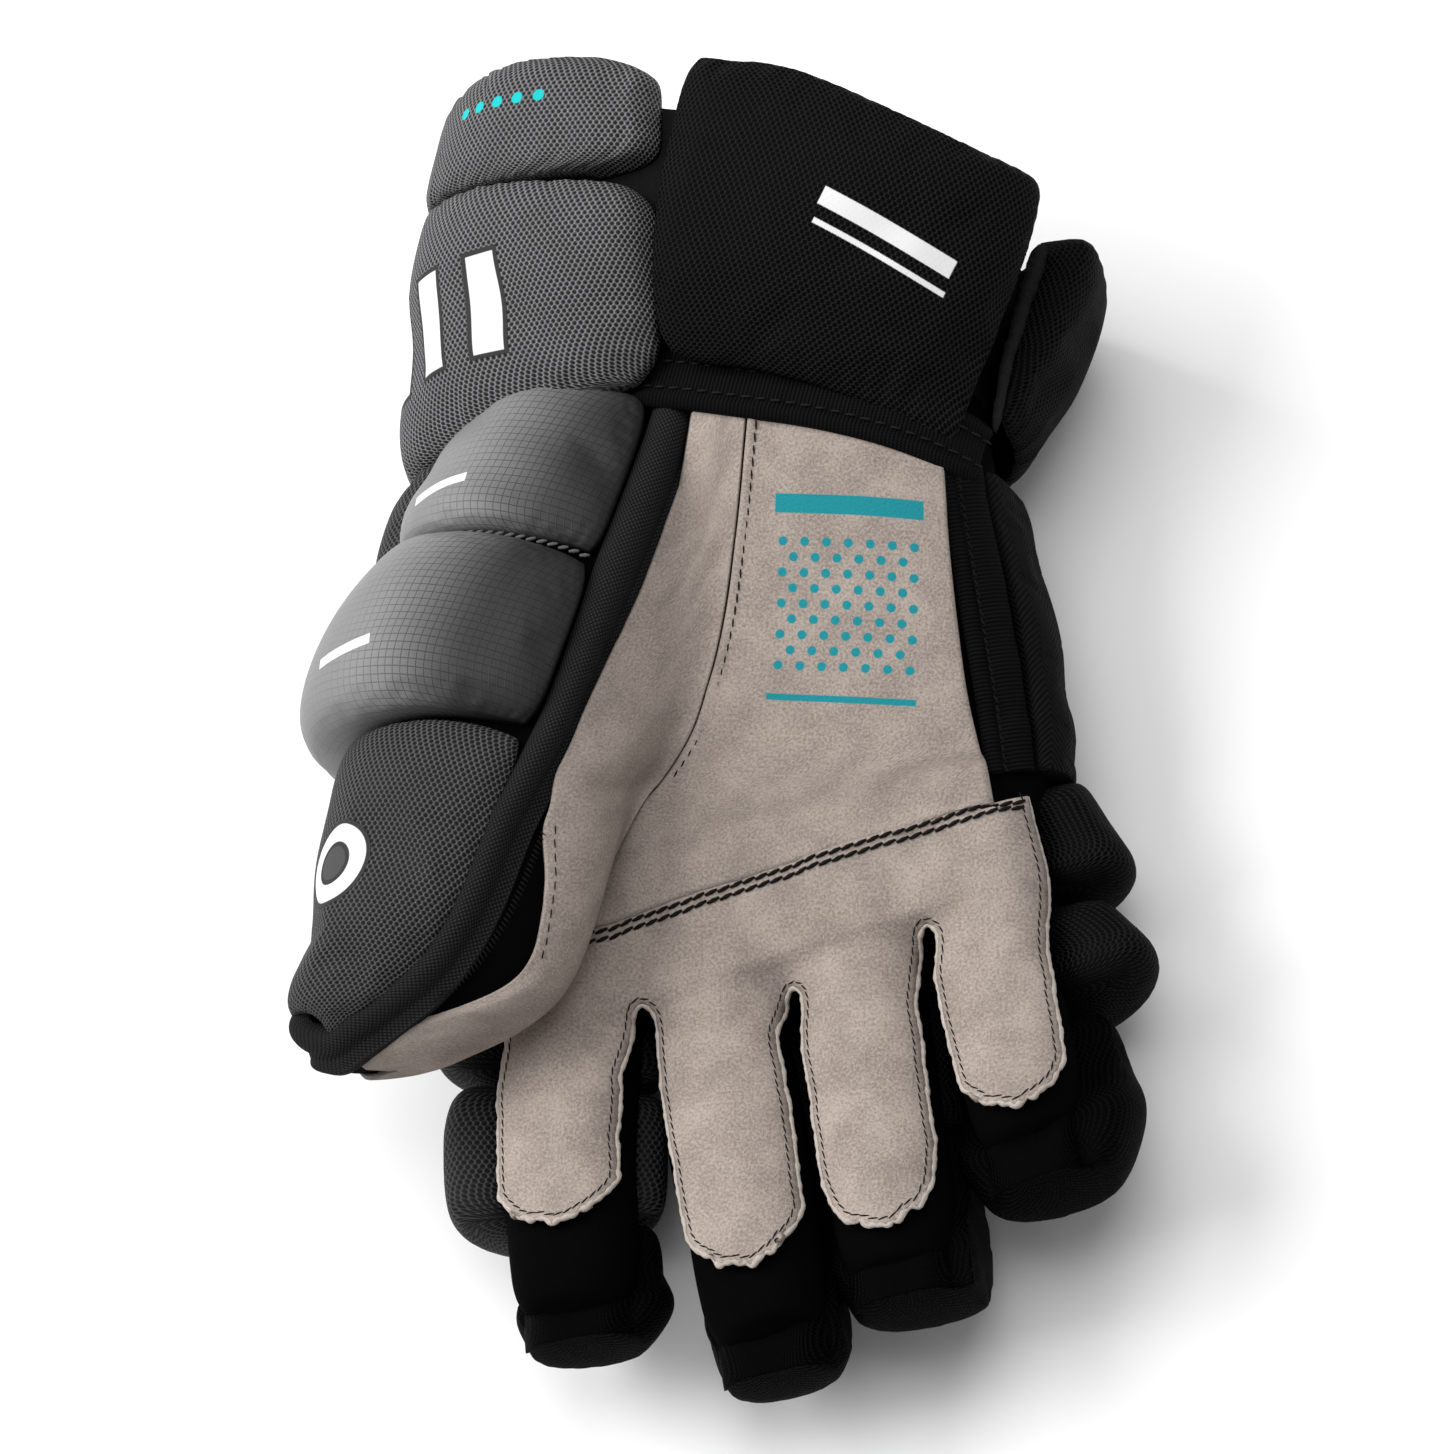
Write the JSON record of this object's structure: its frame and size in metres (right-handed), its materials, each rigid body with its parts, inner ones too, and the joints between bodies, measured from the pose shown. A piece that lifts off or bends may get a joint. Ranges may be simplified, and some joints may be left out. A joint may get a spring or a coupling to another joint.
{
  "type": "ice hockey glove",
  "caption": "Right-hand ice hockey glove lying palm up, with padded mesh rolls on the back, a suede palm, a padded thumb and an open flared cuff.",
  "frame": {"origin": "middle of the glove in plan, on the floor that the padded back rests on", "axes": "+Z out of the palm, +Y from the fingers to the cuff, +X to the little finger side"},
  "size_m": [0.2256, 0.3636, 0.1114],
  "materials": {
    "knit": "black knit",
    "mesh": "black honeycomb mesh over foam",
    "ripstop": "grey coated ripstop, satin",
    "leather": "greige suede",
    "webbing": "black woven webbing and rolled binding",
    "lining": "black velvety lining"
  },
  "bodies": {
    "root": {"knit_hand": "knit", "knit_thumb": "knit", "knit_index": "knit", "knit_middle": "knit", "knit_ring": "knit", "knit_little": "knit", "back_roll_middle": "mesh", "back_roll_lower": "mesh", "index_knuckle_roll": "mesh", "index_middle_roll": "mesh", "index_tip_roll": "mesh", "middle_knuckle_roll": "mesh", "middle_middle_roll": "mesh", "middle_tip_roll": "mesh", "ring_knuckle_roll": "mesh", "ring_middle_roll": "mesh", "ring_tip_roll": "mesh", "little_knuckle_roll": "mesh", "little_middle_roll": "mesh", "little_tip_roll": "mesh", "thumb_pad_upper": "ripstop", "thumb_pad_lower": "ripstop", "thumb_tip_pad": "mesh", "cuff_lining": "lining", "cuff_top_roll": "mesh", "cuff_lower_roll": "mesh", "back_roll_wrist": "mesh", "cuff_palm_panel": "mesh", "cuff_side_panel": "mesh", "side_pad": "mesh", "wrist_band": "webbing", "side_webbing_inner": "webbing", "side_webbing_outer": "webbing", "thumb_edge_binding": "webbing", "palm_upper": "leather", "palm_lower": "leather", "thumb_leather": "leather"}
  },
  "joints": []
}
